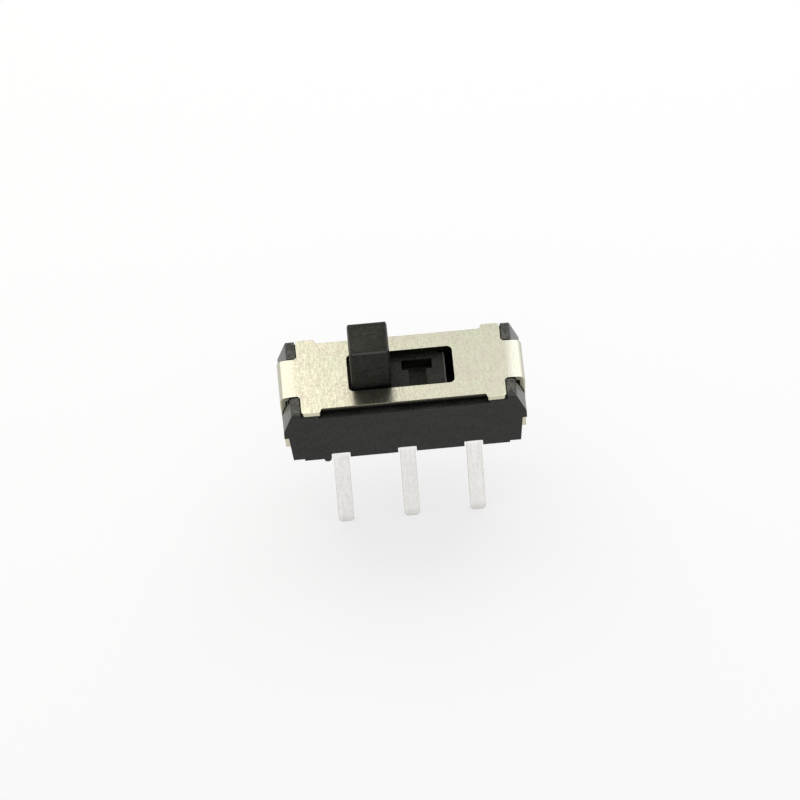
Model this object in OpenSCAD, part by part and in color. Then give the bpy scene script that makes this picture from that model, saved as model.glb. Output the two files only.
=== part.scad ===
// Miniature slide switch, one pole and two ways, with three pins in a row for a circuit board.
// All lengths are in millimetres. The underside of the base, which sits on the board, is z = 0.
// +X runs along the slide, +Y from the pins to the back, +Z up along the handle.

/* [Slide] */
// Travel of the slider from one end to the other
travel = 2.25; // [1.6:0.05:2.6]
// Play between the slider's shoulder and each end wall of the cavity, at the end of its travel
stop_gap = 0.08; // [0.04:0.01:0.2]
// Play between the shoulder and each long wall of the cavity
side_gap = 0.06; // [0.03:0.01:0.12]
// Play between the shoulder and the cover above it
lid_gap = 0.15; // [0.02:0.01:0.2]

/* [Handle and slider] */
// Length of the handle along the slide
handle_l = 1.5; // [1.2:0.05:1.8]
// Depth of the handle, front to back
handle_d = 1.5; // [1.2:0.05:1.6]
// Height of the handle above the cover
handle_h = 2; // [1:0.1:6]
// Radius of the handle's upright edges
handle_r = 0.16; // [0.04:0.01:0.3]
// Radius of the handle's top edges
handle_top_r = 0.1; // [0.04:0.01:0.2]
// Length of the shoulder that runs under the cover
shoulder_l = 5.64; // [5.3:0.02:5.9]
// Thickness of the shoulder
shoulder_t = 0.8; // [0.7:0.05:0.95]
// Radius along the top of the shoulder's ends
shoulder_r = 0.1; // [0.03:0.01:0.2]
// Length of the pocket on each side of the handle, at its wide back part
pocket_l = 1.14; // [0.9:0.02:1.3]
// Length of the same pocket at its narrow front part
pocket_neck_l = 0.66; // [0.5:0.02:0.88]
// Depth of the pocket, front to back
pocket_d = 1.3; // [1:0.05:1.7]
// How far the pocket sinks into the shoulder
pocket_sink = 0.5; // [0.3:0.05:0.6]

/* [Base] */
// Depth of the base, front to back
base_d = 3.56; // [3.4:0.02:4]
// Height of the corner pads that carry the cover
seat_z = 2.58; // [2.4:0.01:3]
// How far the long walls stop below the corner pads
wall_drop = 0.12; // [0.01:0.01:0.15]
// Thickness of the long walls
wall_t = 0.46; // [0.38:0.02:0.55]
// Thickness of the end walls behind the cover's tabs
end_wall_t = 0.31; // [0.25:0.01:0.6]
// Thickness of the floor that holds the terminals
floor_t = 0.45; // [0.42:0.01:0.55]
// How far the ears at the corners stand out from the end walls
ear_proud = 0.225; // [0.15:0.005:0.25]
// Height of the underside of the ears
ear_z = 1.42; // [1.2:0.02:1.6]
// Height of the ears' upright faces, below the ramps
ear_h = 0.36; // [0.2:0.02:0.5]
// How far the corner posts stop below the cover's top
post_drop = 0.02; // [0:0.01:0.1]
// Radius along the posts' top edges
post_r = 0.14; // [0.04:0.01:0.16]

/* [Cover] */
// Thickness of the sheet
cover_t = 0.2; // [0.15:0.01:0.25]
// How far the cover's corners lie back from the base's long faces
lobe_inset = 0.02; // [0.01:0.01:0.1]
// How far the cover's long edges step back between the corners
notch_inset = 0.19; // [0.05:0.01:0.2]
// Length of each corner along the slide
lobe_l = 0.62; // [0.5:0.02:1]
// Length of the curved step from each corner to the long edge
step_l = 0.2; // [0.2:0.02:0.3]
// Width of the end tabs
tab_w = 1.78; // [1.5:0.02:1.9]
// Width of the tabs' feet, which catch under the ears
catch_w = 2.4; // [2.2:0.05:2.8]
// Radius inside the tabs' bends
bend_r = 0.06; // [0.04:0.01:0.14]
// How far the cover's ends have curved down where the bends begin, in degrees
neck_tilt = 8; // [4:0.5:10]
// How far the tabs lean in below the bend, in degrees
tab_lean = 2; // [0:0.5:3]
// Play between the handle and each end of the slot, at the end of its travel
handle_end_gap = 0.115; // [0.09:0.005:0.2]
// Play between the handle and each long side of the slot
handle_side_gap = 0.13; // [0.05:0.01:0.2]
// Radius of the slot's corners
slot_r = 0.2; // [0.1:0.02:0.3]

/* [Contacts] */
// Distance from pin to pin
pitch = 2.5; // [2.4:0.02:2.54]
// Width of the pins
pin_w = 0.58; // [0.4:0.02:0.7]
// Length of the pins below the base
pin_l = 3.85; // [2:0.05:6]
// Thickness of the terminal strip
terminal_t = 0.25; // [0.15:0.01:0.25]
// Length of the contact pads along the slide
pad_l = 1.5; // [1.2:0.05:1.7]
// Depth of the contact pads, front to back
pad_d = 1.7; // [1.4:0.05:1.8]
// Thickness of the moving contact's spring leaf
leaf_t = 0.12; // [0.08:0.01:0.14]
// Width of the moving contact
leaf_w = 1; // [0.8:0.05:1.2]
// Radius inside the moving contact's bows
bow_r = 0.2; // [0.15:0.01:0.25]

/* [Hidden] */
$fn = 48;
// Overrun of every cut past the face that it opens
over = 0.05;
// Clearance of a moulded or staked seat round the metal that it holds
seat_gap = 0.01;
// Overlap of a straight stretch of strip with the bend that it runs into
join = 0.01;

// Slider: rest is with the handle at the left end of the slot
rest_x = -travel / 2;
shoulder_top = seat_z - lid_gap;
shoulder_z = shoulder_top - shoulder_t;
handle_top = seat_z + cover_t + handle_h;
// Pocket: its distance from the handle, and the share of its depth that the wide bar takes
pocket_in = 0.43;
pocket_bar_share = 0.36;

// Cavity, end walls and ends of the base, as half lengths and half depths
cavity_x = shoulder_l / 2 + travel / 2 + stop_gap;
cavity_y = base_d / 2 - wall_t;
shoulder_y = cavity_y - side_gap;
wall_x = cavity_x + end_wall_t;
face_y = base_d / 2;
ear_x = wall_x + ear_proud;
waist_proud = 0.06;
waist_x = wall_x + waist_proud;
foot_in = 0.05;
foot_end_x = wall_x - foot_in;
post_z = seat_z + cover_t - post_drop;
ramp_in = 0.13;
ramp_x = wall_x - ramp_in;
ramp_angle = atan2(ear_x - ramp_x, post_z - ear_z - ear_h);
foot_relief_l = 0.47;
foot_x = wall_x - foot_relief_l;
foot_relief = 0.1;
post_side_r = 0.06;
// Room for the tab and its tipped neck in the end walls
tab_side_gap = 0.06;
recess_y = tab_w / 2 + tab_side_gap;
catch_recess_y = catch_w / 2 + tab_side_gap;
neck_room = 0.15;
// Ends of the shoulder and of its cavity, narrowed to pass between the corner posts
tongue_l = 0.24;
tongue_gap = 0.03;
tongue_y = recess_y - side_gap;
bay_x = cavity_x - tongue_l;
// Mark left by the moulding gate under the front edge
gate_r = 0.13;
gate_l = 0.18;
gate_off = 0.5;
gate_sink = 0.03;

// Cover outline, as half lengths and half depths
cover_top = seat_z + cover_t;
lobe_end_in = 0.495;
lobe_x = wall_x - lobe_end_in;
lobe_y = face_y - lobe_inset;
notch_x = lobe_x - lobe_l;
notch_y = lobe_y - notch_inset;
lobe_r = 0.13;
step_r = (step_l * step_l + notch_inset * notch_inset) / (4 * notch_inset);
post_gap = 0.04;
seat_x = lobe_x + post_gap;
relief_r = 0.15;
crease_x = lobe_x + relief_r;
slot_l = handle_l + travel + 2 * handle_end_gap;
slot_d = handle_d + 2 * handle_side_gap;
// Tab: its inner face stands clear of the end wall, and its foot of the ears above it
tab_gap = 0.03;
tab_x = wall_x + tab_gap + (seat_z - ear_z) * tan(tab_lean);
tab_lift = 0.14;
bend_x = tab_x - bend_r * cos(tab_lean);
neck_r = bend_r + (bend_x - crease_x) / sin(neck_tilt);
bend_z = seat_z - neck_r + (neck_r - bend_r) * cos(neck_tilt);
catch_gap = 0.03;
catch_z = ear_z - catch_gap;
catch_r = 0.12;

// Terminals: a flat leaf in the floor, bent down at the front edge into the pin
leaf_z = floor_t - terminal_t;
pin_bend_r = 0.1;
pin_out = 0.04;
pin_y = -face_y - pin_out;
pin_bend_y = pin_y + pin_bend_r + terminal_t;
pin_bend_z = leaf_z - pin_bend_r;
pin_tip_taper = 0.16;
pin_tip_inset = 0.09;
pad_inset = 0.14;
pad_y = -cavity_y + pad_inset;
pad_r = 0.15;
pin_notch_gap = 0.06;
pin_notch_h = 0.27;

// Moving contact: a flat middle staked under the keel, and a bowed arm to each side
contact_gap = 0.02;
flat_x = 0.4;
shoulder_bend_r = 0.14;
keel_l = 1.3;
keel_d = 1.6;
keel_z = 1.25;
bow_x = pitch / 2;
bow_z = floor_t + contact_gap + bow_r + leaf_t;
arm_mid_r = shoulder_bend_r + bow_r + leaf_t;
arm_dx = bow_x - flat_x;
arm_dz = keel_z - leaf_t - shoulder_bend_r - bow_z;
arm_angle = atan2(arm_dz, arm_dx) + asin(arm_mid_r / norm([arm_dx, arm_dz]));
arm_l = sqrt(arm_dx * arm_dx + arm_dz * arm_dz - arm_mid_r * arm_mid_r);
bow_end_angle = 60;
leaf_tip_l = 0.14;
peg_r = 0.12;
peg_y = 0.28;
peg_proud = 0.08;
peg_l = leaf_t + peg_proud;

plastic_colour = "#2c2c2c";
slider_colour = "#262626";
sheet_colour = "#d6d3c6";
tin_colour = "#d9d8d2";
bronze_colour = "#c9a25e";

// Rectangle with round corners, centred
module round_rect(l, d, r) {
    square([l - 2 * r, d], center = true);
    square([l, d - 2 * r], center = true);
    for (sx = [-1, 1], sy = [-1, 1])
        translate([sx * (l / 2 - r), sy * (d / 2 - r)])
            circle(r);
}

// Filling of an inner corner at the origin, between +X and +Y
module corner_fill(r) {
    difference() {
        square(r);
        translate([r, r])
            circle(r);
    }
}

// Part of a ring between two angles less than half a turn apart
module ring_part(r_in, r_out, a0, a1) {
    reach = 2 * r_out;
    intersection() {
        difference() {
            circle(r_out);
            circle(r_in);
        }
        polygon([
            [0, 0],
            reach * [cos(a0), sin(a0)],
            reach * [cos((a0 + a1) / 2), sin((a0 + a1) / 2)],
            reach * [cos(a1), sin(a1)]
        ]);
    }
}

// Outline in X and Z carried along Y, centred
module along_y(d) {
    rotate([90, 0, 0])
        linear_extrude(d, center = true)
            children();
}

// Outline in Y and Z carried along X, centred
module along_x(l) {
    rotate([90, 0, 90])
        linear_extrude(l, center = true)
            children();
}

// Shapes at both ends of the switch
module both_ends() {
    children();
    mirror([1, 0, 0])
        children();
}

// Half of the base's end view: foot, waist, ear, ramp and post
end_points = [
    [foot_x, 0],
    [foot_x, foot_relief],
    [foot_end_x, foot_relief],
    [waist_x, ear_z],
    [ear_x, ear_z],
    [ear_x, ear_z + ear_h],
    [ramp_x, post_z]
];

// What an arc takes off the corner between a post's top and its ramp
module post_corner() {
    corner = [ramp_x, post_z];
    reach = post_r / tan(45 + ramp_angle / 2);
    middle = corner - [reach, post_r];
    down = [sin(ramp_angle), -cos(ramp_angle)];
    out = [cos(ramp_angle), sin(ramp_angle)];
    difference() {
        polygon([
            middle,
            corner + [-reach, over],
            corner + [over, over],
            corner + reach * down + over * out
        ]);
        translate(middle)
            circle(post_r);
    }
}

module base_block() {
    back_points = [for (i = [len(end_points) - 1 : -1 : 0]) [-end_points[i][0], end_points[i][1]]];
    intersection() {
        along_y(base_d)
            difference() {
                polygon(concat(end_points, back_points));
                post_corner();
                mirror([1, 0])
                    post_corner();
            }
        along_x(2 * ear_x + over)
            round_rect(base_d, 2 * post_z, post_side_r);
    }
}

module gate_mark() {
    translate([-pitch - gate_off, -face_y + gate_l / 2, -gate_sink])
        along_y(gate_l)
            circle(gate_r);
}

// Opening in the front edge round one pin, and the bed of its terminal in the floor
module terminal_bed() {
    notch_back = pin_bend_y + seat_gap;
    translate([-pin_w / 2 - pin_notch_gap, -face_y - over, -over])
        cube([pin_w + 2 * pin_notch_gap, notch_back + face_y + over, pin_notch_h + over]);
    terminal_shape(seat_gap);
}

module base() {
    color(plastic_colour)
    difference() {
        union() {
            base_block();
            gate_mark();
        }
        translate([0, 0, floor_t])
            linear_extrude(post_z) {
                square([2 * bay_x, 2 * cavity_y], center = true);
                square([2 * cavity_x, 2 * recess_y], center = true);
            }
        translate([-seat_x, -face_y - over, seat_z])
            cube([2 * seat_x, base_d + 2 * over, post_z]);
        translate([-notch_x, -face_y - over, seat_z - wall_drop])
            cube([2 * notch_x, base_d + 2 * over, post_z]);
        both_ends() {
            translate([wall_x, -recess_y, -over])
                cube([ear_x, 2 * recess_y, post_z + 2 * over]);
            translate([wall_x, -catch_recess_y, -over])
                cube([ear_x, 2 * catch_recess_y, ear_z + over]);
            translate([cavity_x - over, -recess_y, seat_z - neck_room])
                cube([ear_x, 2 * recess_y, post_z]);
        }
        for (i = [-1 : 1])
            translate([i * pitch, 0, 0])
                terminal_bed();
    }
}

// Step from a corner of the cover to its long edge: two arcs that run into each other
module step_curve() {
    mid_x = notch_x - step_l / 2;
    intersection() {
        translate([mid_x, 0])
            square([step_l / 2, lobe_y]);
        translate([notch_x, lobe_y - step_r])
            circle(step_r);
    }
    translate([mid_x, 0])
        square([step_l / 2, lobe_y - step_r]);
    difference() {
        translate([notch_x - step_l, 0])
            square([step_l / 2, notch_y + notch_inset / 2]);
        translate([notch_x - step_l, notch_y + step_r])
            circle(step_r);
    }
}

module plate_outline() {
    square([2 * lobe_x, 2 * notch_y], center = true);
    square([2 * crease_x, tab_w], center = true);
    for (sx = [0, 1], sy = [0, 1])
        mirror([sx, 0])
            mirror([0, sy]) {
                translate([notch_x, 0])
                    square([lobe_l - lobe_r, lobe_y]);
                translate([notch_x, 0])
                    square([lobe_l, lobe_y - lobe_r]);
                translate([lobe_x - lobe_r, lobe_y - lobe_r])
                    circle(lobe_r);
                step_curve();
                translate([lobe_x, tab_w / 2])
                    corner_fill(relief_r);
            }
}

// Neck, bend and tab, seen from the front, with a core across each joint that stays inside the sheet
module tab_profile() {
    bend_at = [bend_x, bend_z];
    core_t = cover_t - 2 * join;
    translate([crease_x - join, seat_z + join])
        square([2 * join, core_t]);
    translate([crease_x, seat_z - neck_r])
        ring_part(neck_r, neck_r + cover_t, 90 - neck_tilt, 90);
    translate(bend_at) {
        rotate(-neck_tilt)
            translate([-join, bend_r + join])
                square([2 * join, core_t]);
        ring_part(bend_r, bend_r + cover_t, -tab_lean, 90 - neck_tilt);
        rotate(-tab_lean) {
            translate([bend_r + join, -join])
                square([core_t, 2 * join]);
            translate([bend_r, -bend_z])
                square([cover_t, bend_z]);
        }
    }
}

// Outline of the tab, seen along the slide: the neck's width down to a wider foot
module tab_outline() {
    foot_h = catch_z - tab_lift;
    translate([0, tab_lift + foot_h / 2]) {
        round_rect(catch_w, foot_h, catch_r);
        translate([-tab_w / 2, 0])
            square([tab_w, cover_top]);
    }
}

module end_tab() {
    intersection() {
        along_y(catch_w)
            tab_profile();
        translate([crease_x, 0, 0])
            along_x(2 * tab_x)
                tab_outline();
    }
}

module cover() {
    color(sheet_colour)
    union() {
        translate([0, 0, seat_z])
            linear_extrude(cover_t)
                difference() {
                    plate_outline();
                    round_rect(slot_l, slot_d, slot_r);
                }
        both_ends()
            end_tab();
    }
}

// Handle with its upright and top edges rounded
module handle() {
    foot_z = shoulder_z + shoulder_t / 2;
    tall = handle_top - foot_z;
    intersection() {
        translate([0, 0, foot_z])
            linear_extrude(tall)
                round_rect(handle_l, handle_d, handle_r);
        along_y(handle_d + over)
            translate([0, handle_top - tall])
                round_rect(handle_l, 2 * tall, handle_top_r);
        along_x(handle_l + over)
            translate([0, handle_top - tall])
                round_rect(handle_d, 2 * tall, handle_top_r);
    }
}

// Shoulder with rounded ends, full depth in the middle and narrower at both ends
module shoulder() {
    wide_l = shoulder_l - 2 * (tongue_l + tongue_gap);
    intersection() {
        along_y(2 * shoulder_y)
            translate([0, shoulder_z])
                round_rect(shoulder_l, 2 * shoulder_t, shoulder_r);
        translate([0, 0, shoulder_z])
            linear_extrude(shoulder_t) {
                square([wide_l, 2 * shoulder_y], center = true);
                square([shoulder_l, 2 * tongue_y], center = true);
            }
    }
}

// Pocket beside the handle: a wide bar at the back and a narrower stem to the front
module shoulder_pocket() {
    mid_x = handle_l / 2 + pocket_in + pocket_l / 2;
    bar_d = pocket_d * pocket_bar_share;
    translate([mid_x, -pocket_d / 2, shoulder_top - pocket_sink])
        linear_extrude(pocket_sink + over) {
            translate([-pocket_neck_l / 2, 0])
                square([pocket_neck_l, pocket_d]);
            translate([-pocket_l / 2, pocket_d - bar_d])
                square([pocket_l, bar_d]);
        }
}

module slider() {
    color(slider_colour)
    translate([rest_x, 0, 0])
    union() {
        difference() {
            shoulder();
            both_ends()
                shoulder_pocket();
        }
        handle();
        translate([-keel_l / 2, -keel_d / 2, keel_z])
            cube([keel_l, keel_d, shoulder_z - keel_z + over]);
        for (sy = [-1, 1])
            translate([0, sy * peg_y, keel_z - peg_l])
                cylinder(r = peg_r, h = peg_l + over);
    }
}

// One arm of the spring leaf, seen from the front: a bend down, a straight arm, the bow and its tip
module arm_profile() {
    bend_at = [flat_x, keel_z - leaf_t - shoulder_bend_r];
    bow_at = [bow_x, bow_z];
    n = [sin(arm_angle), cos(arm_angle)];
    translate(bend_at)
        ring_part(shoulder_bend_r, shoulder_bend_r + leaf_t, 90 - arm_angle, 90);
    translate(bend_at + shoulder_bend_r * n)
        rotate(-arm_angle)
            translate([-join, 0])
                square([arm_l + 2 * join, leaf_t]);
    translate(bow_at)
        ring_part(bow_r, bow_r + leaf_t, 270 - arm_angle, 270 + bow_end_angle);
    translate(bow_at)
        rotate(bow_end_angle)
            translate([-join, -bow_r - leaf_t])
                square([leaf_tip_l + join, leaf_t]);
}

module moving_contact() {
    color(bronze_colour)
    translate([rest_x, 0, 0])
    difference() {
        along_y(leaf_w) {
            translate([-flat_x - join, keel_z - leaf_t])
                square([2 * (flat_x + join), leaf_t]);
            arm_profile();
            mirror([1, 0])
                arm_profile();
        }
        for (sy = [-1, 1])
            translate([0, sy * peg_y, keel_z - leaf_t - over])
                cylinder(r = peg_r + seat_gap, h = leaf_t + 2 * over);
    }
}

// Terminal at the middle of the row, grown by gap to cut its bed
module terminal_shape(gap) {
    bend_at = [pin_bend_y, pin_bend_z];
    neck_end = pad_y + pad_r;
    tip_half = pin_w / 2 - pin_tip_inset;
    along_x(pin_w + 2 * gap) {
        translate(bend_at)
            ring_part(pin_bend_r - gap, pin_bend_r + terminal_t + gap, 90, 180);
        translate([pin_bend_y, leaf_z - gap])
            square([neck_end - pin_bend_y, terminal_t + 2 * gap]);
    }
    translate([0, pin_y + terminal_t / 2, 0])
        along_y(terminal_t + 2 * gap)
            polygon([
                [-pin_w / 2 - gap, pin_bend_z],
                [-pin_w / 2 - gap, pin_tip_taper - pin_l],
                [-tip_half, -pin_l],
                [tip_half, -pin_l],
                [pin_w / 2 + gap, pin_tip_taper - pin_l],
                [pin_w / 2 + gap, pin_bend_z]
            ]);
    translate([0, pad_y + pad_d / 2, leaf_z - gap])
        linear_extrude(terminal_t + 2 * gap)
            round_rect(pad_l + 2 * gap, pad_d + 2 * gap, pad_r);
}

module terminal(place) {
    color(tin_colour)
    translate([place * pitch, 0, 0])
        terminal_shape(0);
}

module terminal_left() {
    terminal(-1);
}

module terminal_common() {
    terminal(0);
}

module terminal_right() {
    terminal(1);
}

base();
cover();
slider();
moving_contact();
terminal_left();
terminal_common();
terminal_right();
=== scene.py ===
import math

import bpy
from mathutils import Matrix, Vector


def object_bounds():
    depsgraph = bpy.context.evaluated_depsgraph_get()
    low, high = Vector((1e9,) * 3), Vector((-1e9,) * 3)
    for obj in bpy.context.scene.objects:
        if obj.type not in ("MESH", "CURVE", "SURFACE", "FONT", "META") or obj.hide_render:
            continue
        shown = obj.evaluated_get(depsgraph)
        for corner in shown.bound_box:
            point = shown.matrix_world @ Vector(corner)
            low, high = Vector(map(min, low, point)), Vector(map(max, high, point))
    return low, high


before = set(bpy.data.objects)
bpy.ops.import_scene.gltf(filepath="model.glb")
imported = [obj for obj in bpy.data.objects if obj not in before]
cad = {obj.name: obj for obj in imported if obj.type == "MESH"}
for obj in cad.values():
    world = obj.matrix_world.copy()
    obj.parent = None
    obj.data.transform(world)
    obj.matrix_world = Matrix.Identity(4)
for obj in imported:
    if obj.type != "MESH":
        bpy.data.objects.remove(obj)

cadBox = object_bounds()
mm = 0.001
scene = bpy.context.scene


# camera: a long lens looking down on the switch, turned a little about its own line of sight
cameraLook = {
    "target": (-0.132, -1.512, 2.79),  # mm, where the line of sight meets the cover's height
    "heading": 1.013,  # degrees from +Y towards +X
    "elevation": 51.389,
    "roll": -4.49,
    "distance": 326.8,  # mm
    "lens": 394.03,
    "sensor": 36.0,
    "clip": (0.01, 20),  # m
}


def makeCamera(look):
    a, e, r = (math.radians(look[k]) for k in ("heading", "elevation", "roll"))
    forward = Vector((math.sin(a) * math.cos(e), math.cos(a) * math.cos(e), -math.sin(e)))
    level = forward.cross(Vector((0, 0, 1))).normalized()
    upright = level.cross(forward)
    right = level * math.cos(r) + upright * math.sin(r)
    up = upright * math.cos(r) - level * math.sin(r)
    place = Vector(look["target"]) * mm - forward * look["distance"] * mm
    data = bpy.data.cameras.new("camera")
    data.lens = look["lens"]
    data.sensor_width = look["sensor"]
    data.clip_start, data.clip_end = look["clip"]
    ob = bpy.data.objects.new("camera", data)
    ob.matrix_world = Matrix((
        (right.x, up.x, -forward.x, place.x),
        (right.y, up.y, -forward.y, place.y),
        (right.z, up.z, -forward.z, place.z),
        (0, 0, 0, 1),
    ))
    scene.collection.objects.link(ob)
    scene.camera = ob


makeCamera(cameraLook)
print("camera set")


# small helpers for node trees
mixColour = {"first": 6, "second": 7, "result": 2}  # a Mix node's sockets for colours
edgeSamples = 8


def addNode(tree, kind, inputs=None, **props):
    made = tree.nodes.new(kind)
    for key, value in props.items():
        setattr(made, key, value)
    for key, value in (inputs or {}).items():
        if isinstance(value, bpy.types.NodeSocket):
            tree.links.new(value, made.inputs[key])
        else:
            made.inputs[key].default_value = value
    return made


def newMaterial(name):
    mat = bpy.data.materials.new(name)
    mat.use_nodes = True
    tree = mat.node_tree
    tree.nodes.clear()
    out = addNode(tree, "ShaderNodeOutputMaterial")
    shader = addNode(tree, "ShaderNodeBsdfPrincipled")
    tree.links.new(shader.outputs[0], out.inputs["Surface"])
    return mat, tree, shader


def dress(tree, shader, colour, rough, normal):
    tree.links.new(colour, shader.inputs["Base Color"])
    tree.links.new(rough, shader.inputs["Roughness"])
    tree.links.new(normal, shader.inputs["Normal"])


def mmCoords(tree, scale=(1, 1, 1)):
    # object coordinates in millimetres, stretched by scale
    place = addNode(tree, "ShaderNodeTexCoord").outputs["Object"]
    factor = tuple(s / mm for s in scale)
    return addNode(tree, "ShaderNodeMapping", {"Vector": place, "Scale": factor}).outputs[0]


def noise(tree, coords, size=1.0, detail=3.0, rough=0.55):
    # size is the width of a patch in the units of coords
    return addNode(tree, "ShaderNodeTexNoise", {
        "Vector": coords, "Scale": 1 / size, "Detail": detail, "Roughness": rough,
    }).outputs["Fac"]


def spread(tree, value, low, high, fromLow=0.3, fromHigh=0.7):
    # a value's usual span carried to low ... high
    return addNode(tree, "ShaderNodeMapRange", {
        "Value": value, "From Min": fromLow, "From Max": fromHigh, "To Min": low, "To Max": high,
    }).outputs[0]


def maths(tree, operation, *values):
    return addNode(tree, "ShaderNodeMath", dict(enumerate(values)), operation=operation).outputs[0]


def band(tree, value, rise, fall):
    # 1 between the span where value comes into the band and the span where it leaves it
    return maths(tree, "MULTIPLY", spread(tree, value, 0, 1, *rise), spread(tree, value, 1, 0, *fall))


def axisParts(tree, vector):
    return addNode(tree, "ShaderNodeSeparateXYZ", {0: vector}).outputs


def normalParts(tree):
    # the parts of the surface's direction along the object's own axes
    return axisParts(tree, addNode(tree, "ShaderNodeTexCoord").outputs["Normal"])


def fromMiddle(tree):
    # distance from the middle of the switch along the slide, mm
    return maths(tree, "ABSOLUTE", axisParts(tree, mmCoords(tree))["X"])


def tinted(colour, tint):
    return tuple(c * t for c, t in zip(colour, tint))


def blendColour(tree, share, first, second):
    mix = addNode(tree, "ShaderNodeMix", data_type="RGBA")
    tree.links.new(share, mix.inputs["Factor"])
    for key, value in (("first", first), ("second", second)):
        socket = mix.inputs[mixColour[key]]
        if isinstance(value, bpy.types.NodeSocket):
            tree.links.new(value, socket)
        else:
            socket.default_value = (*value, 1)
    return mix.outputs[mixColour["result"]]


def bump(tree, height, depth, strength, under):
    # depth is the height of the relief in mm
    return addNode(tree, "ShaderNodeBump", {
        "Height": height, "Distance": depth * mm, "Strength": strength, "Normal": under,
    }).outputs[0]


def softEdges(tree, radius):
    # the surface's direction, turned over within radius mm of an edge
    return addNode(tree, "ShaderNodeBevel", {"Radius": radius * mm}, samples=edgeSamples).outputs[0]


# black glass-filled mouldings: a mottle, a spark-eroded grain and faint flow marks
# span: what speckle and flow, added, cover from dark to light
# speckle, flow and grain: width of a patch in mm, then the noise's detail and roughness
# up: how much paler faces turned up are, a painted top light, coming in over the slopes turned and the
# heights upTo (mm)
# edge and edge up high: painted highlights on the slanted faces of rounded edges, low down and high up,
# rounded by round mm
basePlastic = {
    "dark": (0.004, 0.004, 0.004), "light": (0.023, 0.023, 0.022), "span": (0.82, 1.22),
    "speckle": (0.09, 2.0), "flow": (0.4, 4.0), "grain": (0.03, 3.0, 0.6), "grainDepth": 0.003,
    "up": (5.3, 5.1, 4.4), "turned": (0.15, 0.6), "upTo": (2.57, 2.64),
    "edge": (0.05, 0.05, 0.048), "edgeGlintUp": (0.05, 0.05, 0.048), "round": 0.06,
    "rough": (0.36, 0.55), "gloss": 0.28, "glossTint": (1, 1, 0.95),
    # ramp: paler colour on the outer ends of the end ramps, a painted reflection of the bright room at a
    # grazing angle
    "ramp": (0.09, 0.09, 0.085), "rampX": (4.15, 4.56), "rampRough": 0.16,  # rampX: mm from the middle
}
sliderPlastic = {
    "dark": (0.003, 0.003, 0.0026), "light": (0.0236, 0.0234, 0.0214), "span": (0.82, 1.22),
    "speckle": (0.09, 2.0), "flow": (0.4, 4.0), "grain": (0.03, 3.0, 0.6), "grainDepth": 0.004,
    "up": (1.3, 1.28, 1.1), "turned": (0.5, 0.9), "upTo": (2.1, 4.6),
    "edge": (0.2, 0.2, 0.185), "edgeGlintUp": (0.075, 0.075, 0.07), "round": 0.03,
    "rough": (0.42, 0.58), "gloss": 0.18, "glossTint": (1, 0.99, 0.86),
}
# both mouldings: flow marks drawn out along the slide, and the slopes between which a face counts as an
# edge or a ramp
moulding = {
    "flowScale": (0.35, 1, 1), "grainStrength": 0.5,
    "edgeSlopes": ((0.3, 0.45), (0.8, 0.95)), "rampSlopes": ((0.15, 0.28), (0.4, 0.55)),
}


def mouldedPlastic(name, look):
    mat, tree, shader = newMaterial(name)
    coords = mmCoords(tree)
    flow = noise(tree, mmCoords(tree, moulding["flowScale"]), *look["flow"])
    both = maths(tree, "ADD", noise(tree, coords, *look["speckle"]), flow)
    share = spread(tree, both, 0, 1, *look["span"])
    body = blendColour(tree, share, look["dark"], look["light"])
    # faces turned up and high up painted paler: painted light falling from above
    paintedTopLit = blendColour(tree, share, *(tinted(look[k], look["up"]) for k in ("dark", "light")))
    slope = normalParts(tree)["Z"]
    high = spread(tree, axisParts(tree, coords)["Z"], 0, 1, *look["upTo"])
    topLightShare = maths(tree, "MULTIPLY", spread(tree, slope, 0, 1, *look["turned"]), high)
    colour = blendColour(tree, topLightShare, body, paintedTopLit)
    # slanted faces of edges painted paler: a painted highlight, brightest low down on the slider
    edge = band(tree, slope, *moulding["edgeSlopes"])
    colour = blendColour(tree, edge, colour, blendColour(tree, high, look["edge"], look["edgeGlintUp"]))
    rough = spread(tree, flow, *look["rough"])
    if "ramp" in look:
        # outer ends of the ramps painted paler: a painted reflection
        slanted = band(tree, slope, *moulding["rampSlopes"])
        outward = spread(tree, fromMiddle(tree), 0, 1, *look["rampX"])
        colour = blendColour(tree, maths(tree, "MULTIPLY", slanted, outward), colour, look["ramp"])
        rough = spread(tree, slanted, rough, look["rampRough"], 0, 1)
    grain = noise(tree, coords, *look["grain"])
    soft = softEdges(tree, look["round"])
    normal = bump(tree, grain, look["grainDepth"], moulding["grainStrength"], soft)
    dress(tree, shader, colour, rough, normal)
    shader.inputs["Specular IOR Level"].default_value = look["gloss"]
    shader.inputs["Specular Tint"].default_value = (*look["glossTint"], 1)
    return mat


# all the metals: span and roughSpan are what two noises added cover from dull to bright
# streak is the width and length of a line in mm, rough is that of the dull and of the bright
metal = {"span": (0.72, 1.3), "roughSpan": (0.7, 1.3), "strength": 0.6}


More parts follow.
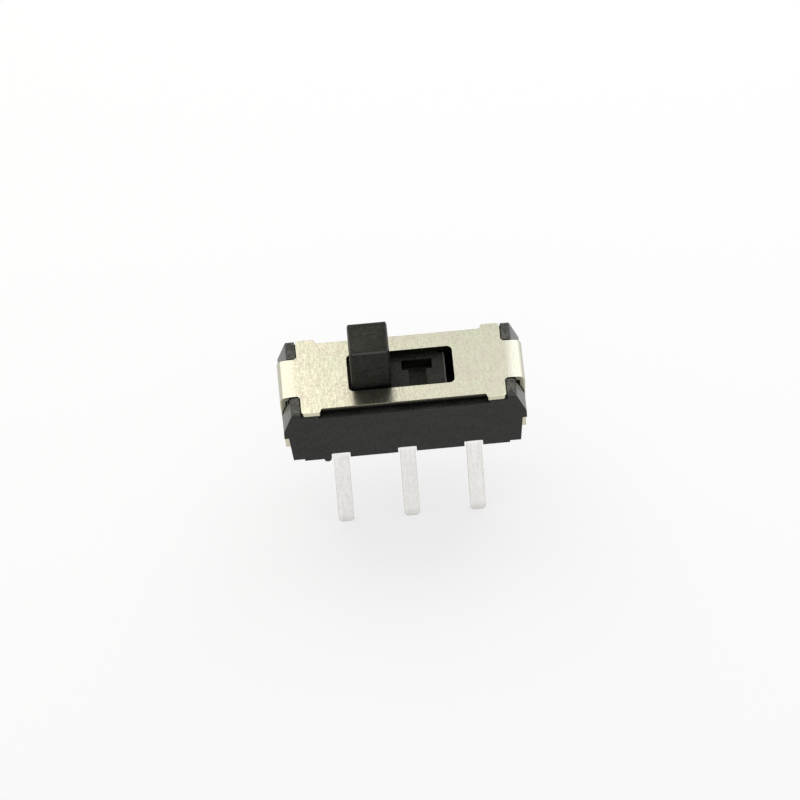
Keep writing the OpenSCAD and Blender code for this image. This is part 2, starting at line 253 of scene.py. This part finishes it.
# plated steel sheet: satin, with the mill's streaks along Y, a mottle in the plating that drifts to a
# cooler tint, sheared edges painted dark between the corners as a painted reflection of the dark ledge
# and painted shade, and bends that are rubbed smooth
platedSheet = {
    "bright": (0.655, 0.621, 0.497), "dull": (0.41, 0.389, 0.311), "rough": (0.28, 0.16),
    "streak": (0.055, 0.24), "mottle": (0.1, 5.0, 0.62), "depth": 0.001, "round": 0.015,
    "tint": (1.005, 1.055, 1.01), "drift": (0.6, 3.0), "driftSpan": (0.4, 0.6),
    # the first colour here: sheared edges painted dark between the corners, a painted reflection of the
    # dark ledge and painted shade
    "cut": (0.13, 0.125, 0.095), "cutRough": 0.22, "cutFront": (0.7, 0.9), "cutUpright": (0.25, 0.6),
    "flatX": (3.95, 4.0),  # mm from the middle, where the flat plate ends
    "cornerCut": (0.62, 0.6, 0.45), "cornerX": (3.05, 3.2),  # mm from the middle, where the corners begin
    "burnish": (0.545, 0.53, 0.445), "burnishShare": 0.8,
    "burnishX": (3.96, 4.03), "burnishTurn": (0.1, 0.4),  # mm from the middle, and upward slope
}


def shearedShare(tree, look):
    # 1 on faces turned to the front or back, and on the flat plate's other upright faces
    turned = normalParts(tree)
    faces = spread(tree, maths(tree, "ABSOLUTE", turned["Y"]), 0, 1, *look["cutFront"])
    steep = spread(tree, maths(tree, "ABSOLUTE", turned["Z"]), 1, 0, *look["cutUpright"])
    flat = spread(tree, fromMiddle(tree), 1, 0, *look["flatX"])
    return maths(tree, "MAXIMUM", maths(tree, "MULTIPLY", steep, flat), faces)


def sheetMetal(name, look):
    mat, tree, shader = newMaterial(name)
    wide, long = look["streak"]
    streaks = noise(tree, mmCoords(tree, (1 / wide, 1 / long, 1 / wide)))
    both = maths(tree, "ADD", streaks, noise(tree, mmCoords(tree), *look["mottle"]))
    share = spread(tree, both, 0, 1, *metal["span"])
    warm = blendColour(tree, share, look["dull"], look["bright"])
    cool = blendColour(tree, share, *(tinted(look[k], look["tint"]) for k in ("dull", "bright")))
    drift = spread(tree, noise(tree, mmCoords(tree), *look["drift"]), 0, 1, *look["driftSpan"])
    plating = blendColour(tree, drift, warm, cool)
    bent = spread(tree, fromMiddle(tree), 0, look["burnishShare"], *look["burnishX"])
    rising = spread(tree, normalParts(tree)["Z"], 0, 1, *look["burnishTurn"])
    plating = blendColour(tree, maths(tree, "MULTIPLY", bent, rising), plating, look["burnish"])
    # sheared edges painted dark between the corners, plain metal at the corners: a painted reflection and
    # shade
    corner = spread(tree, fromMiddle(tree), 0, 1, *look["cornerX"])
    sheared = blendColour(tree, corner, look["cut"], look["cornerCut"])
    cut = shearedShare(tree, look)
    colour = blendColour(tree, cut, plating, sheared)
    satin = spread(tree, both, *look["rough"], *metal["roughSpan"])
    rough = spread(tree, cut, satin, look["cutRough"], 0, 1)
    soft = softEdges(tree, look["round"])
    dress(tree, shader, colour, rough, bump(tree, both, look["depth"], metal["strength"], soft))
    shader.inputs["Metallic"].default_value = 1
    return mat


# tin plate on the terminals: soft lengthwise lines, a pale spangle, duller sheared sides, and tips
# painted darker over the last tipL mm as painted contact shade
tinPlate = {
    "bright": (1, 0.98, 0.957), "dull": (0.86, 0.838, 0.81), "rough": (0.4, 0.24),
    "streak": (0.06, 0.9), "spangle": (0.16, 4.0, 0.6), "depth": 0.002, "round": 0.045,
    "edge": (0.66, 0.642, 0.615), "edgeTurn": (0.1, 0.5), "tip": (0.74, 0.722, 0.7), "tipL": 0.45,
}


def tinnedMetal(name, look):
    mat, tree, shader = newMaterial(name)
    wide, long = look["streak"]
    lines = noise(tree, mmCoords(tree, (1 / wide, 1 / wide, 1 / long)))
    both = maths(tree, "ADD", lines, noise(tree, mmCoords(tree), *look["spangle"]))
    share = spread(tree, both, 0, 1, *metal["span"])
    plating = blendColour(tree, share, look["dull"], look["bright"])
    tipZ = cadBox[0].z / mm
    # darker towards the tips: painted contact shade where the pins stand on the floor
    tipShadeShare = spread(tree, axisParts(tree, mmCoords(tree))["Z"], 1, 0, tipZ, tipZ + look["tipL"])
    plating = blendColour(tree, tipShadeShare, plating, look["tip"])
    soft = softEdges(tree, look["round"])
    sheared = spread(tree, maths(tree, "ABSOLUTE", axisParts(tree, soft)["X"]), 0, 1, *look["edgeTurn"])
    colour = blendColour(tree, sheared, plating, look["edge"])
    rough = spread(tree, both, *look["rough"], *metal["roughSpan"])
    dress(tree, shader, colour, rough, bump(tree, both, look["depth"], metal["strength"], soft))
    shader.inputs["Metallic"].default_value = 1
    return mat


# spring bronze of the moving contact: rolled lines along the leaf and a darker tarnish
springBronze = {
    "bright": (0.72, 0.5, 0.27), "dull": (0.5, 0.33, 0.17), "rough": (0.4, 0.22),
    "streak": (0.04, 0.8), "tarnish": (0.4, 4.0), "depth": 0.001, "round": 0.02,
}


def bronzeLeaf(name, look):
    mat, tree, shader = newMaterial(name)
    wide, long = look["streak"]
    lines = noise(tree, mmCoords(tree, (1 / long, 1 / wide, 1 / long)))
    both = maths(tree, "ADD", lines, noise(tree, mmCoords(tree), *look["tarnish"]))
    share = spread(tree, both, 0, 1, *metal["span"])
    colour = blendColour(tree, share, look["dull"], look["bright"])
    rough = spread(tree, both, *look["rough"], *metal["roughSpan"])
    soft = softEdges(tree, look["round"])
    dress(tree, shader, colour, rough, bump(tree, lines, look["depth"], metal["strength"], soft))
    shader.inputs["Metallic"].default_value = 1
    return mat


finishes = {
    "base": mouldedPlastic("black moulding", basePlastic),
    "slider": mouldedPlastic("black slider moulding", sliderPlastic),
    "cover": sheetMetal("plated sheet", platedSheet),
    "moving_contact": bronzeLeaf("spring bronze", springBronze),
}
tin = tinnedMetal("tin plate", tinPlate)
for side in ("left", "common", "right"):
    finishes["terminal_" + side] = tin
for name, mat in finishes.items():
    cad[name].material_slots[0].material = mat
print("finishes:", len(set(finishes.values())))


# floor and room: a white sheet under the pins, and white all round
room = {
    "half": 1.5,  # m
    "paper": (0.93, 0.93, 0.93), "paperRough": 0.9,
    "glow": 0.62,  # how far the sheet is lifted to white where it is seen
    "fill": (0.5, 1.08),  # light from the front and from the back
    "fillTurn": (-0.7, 0.7),  # where along Y it changes over
}
white = (1, 1, 1, 1)


def seenShare(tree, share):
    # share where the surface is seen by the camera or in a gloss, nothing where it only lights
    path = addNode(tree, "ShaderNodeLightPath")
    seen = path.outputs["Is Camera Ray"]
    for other in ("Is Glossy Ray", "Is Transmission Ray"):
        seen = maths(tree, "MAXIMUM", seen, path.outputs[other])
    return maths(tree, "MULTIPLY", seen, share)


def blendShader(tree, share, first, second):
    both = addNode(tree, "ShaderNodeMixShader", {0: share, 1: first.outputs[0], 2: second.outputs[0]})
    return both.outputs[0]


def makeFloor(look):
    z = cadBox[0].z
    h = look["half"]
    mesh = bpy.data.meshes.new("floor")
    mesh.from_pydata([(-h, -h, z), (h, -h, z), (h, h, z), (-h, h, z)], [], [(0, 1, 2, 3)])
    ob = bpy.data.objects.new("floor", mesh)
    scene.collection.objects.link(ob)
    mat, tree, shader = newMaterial("white paper")
    shader.inputs["Base Color"].default_value = (*look["paper"], 1)
    shader.inputs["Roughness"].default_value = look["paperRough"]
    shader.inputs["Specular IOR Level"].default_value = 0
    glow = addNode(tree, "ShaderNodeEmission", {"Color": white, "Strength": 1})
    both = blendShader(tree, seenShare(tree, look["glow"]), shader, glow)
    out = next(n for n in tree.nodes if n.type == "OUTPUT_MATERIAL")
    tree.links.new(both, out.inputs["Surface"])
    mesh.materials.append(mat)


def makeWorld(look):
    world = bpy.data.worlds.new("room")
    scene.world = world
    world.use_nodes = True
    tree = world.node_tree
    tree.nodes.clear()
    toBack = axisParts(tree, addNode(tree, "ShaderNodeTexCoord").outputs["Generated"])["Y"]
    fill = spread(tree, toBack, *look["fill"], *look["fillTurn"])
    light = addNode(tree, "ShaderNodeBackground", {"Color": white, "Strength": fill})
    seen = addNode(tree, "ShaderNodeBackground", {"Color": white, "Strength": 1})
    both = blendShader(tree, seenShare(tree, 1), light, seen)
    out = addNode(tree, "ShaderNodeOutputWorld")
    tree.links.new(both, out.inputs["Surface"])


# lamps: two soft boxes behind, with a gap between them, which the cover's curved ends mirror, and a low
# one to the right; place and size in mm
lamps = {
    "leftBox": {"place": (-25, 37, 50), "size": (46, 60), "glow": 1.03, "tint": (1, 0.945, 0.84)},
    "rightBox": {"place": (29, 37, 50), "size": (38, 60), "glow": 1.05, "tint": (0.9, 0.95, 1)},
    "sideBox": {"place": (62, 38, 16), "size": (50, 34), "glow": 0.5, "tint": (0.93, 0.97, 1)},
}


def makeLamp(name, look):
    # glow is what the box's face adds to the room behind it, which is 1 where a gloss mirrors it
    data = bpy.data.lights.new(name, "AREA")
    data.shape = "RECTANGLE"
    data.size, data.size_y = (v * mm for v in look["size"])
    data.energy = look["glow"] * math.pi * data.size * data.size_y
    data.color = look["tint"]
    ob = bpy.data.objects.new(name, data)
    place = Vector(look["place"]) * mm
    ob.location = place
    ob.rotation_euler = (-place).to_track_quat("-Z", "Y").to_euler()
    scene.collection.objects.link(ob)


makeFloor(room)
makeWorld(room)
for name, look in lamps.items():
    makeLamp(name, look)
scene.view_settings.view_transform = "Standard"
print("floor, room and lamps set")
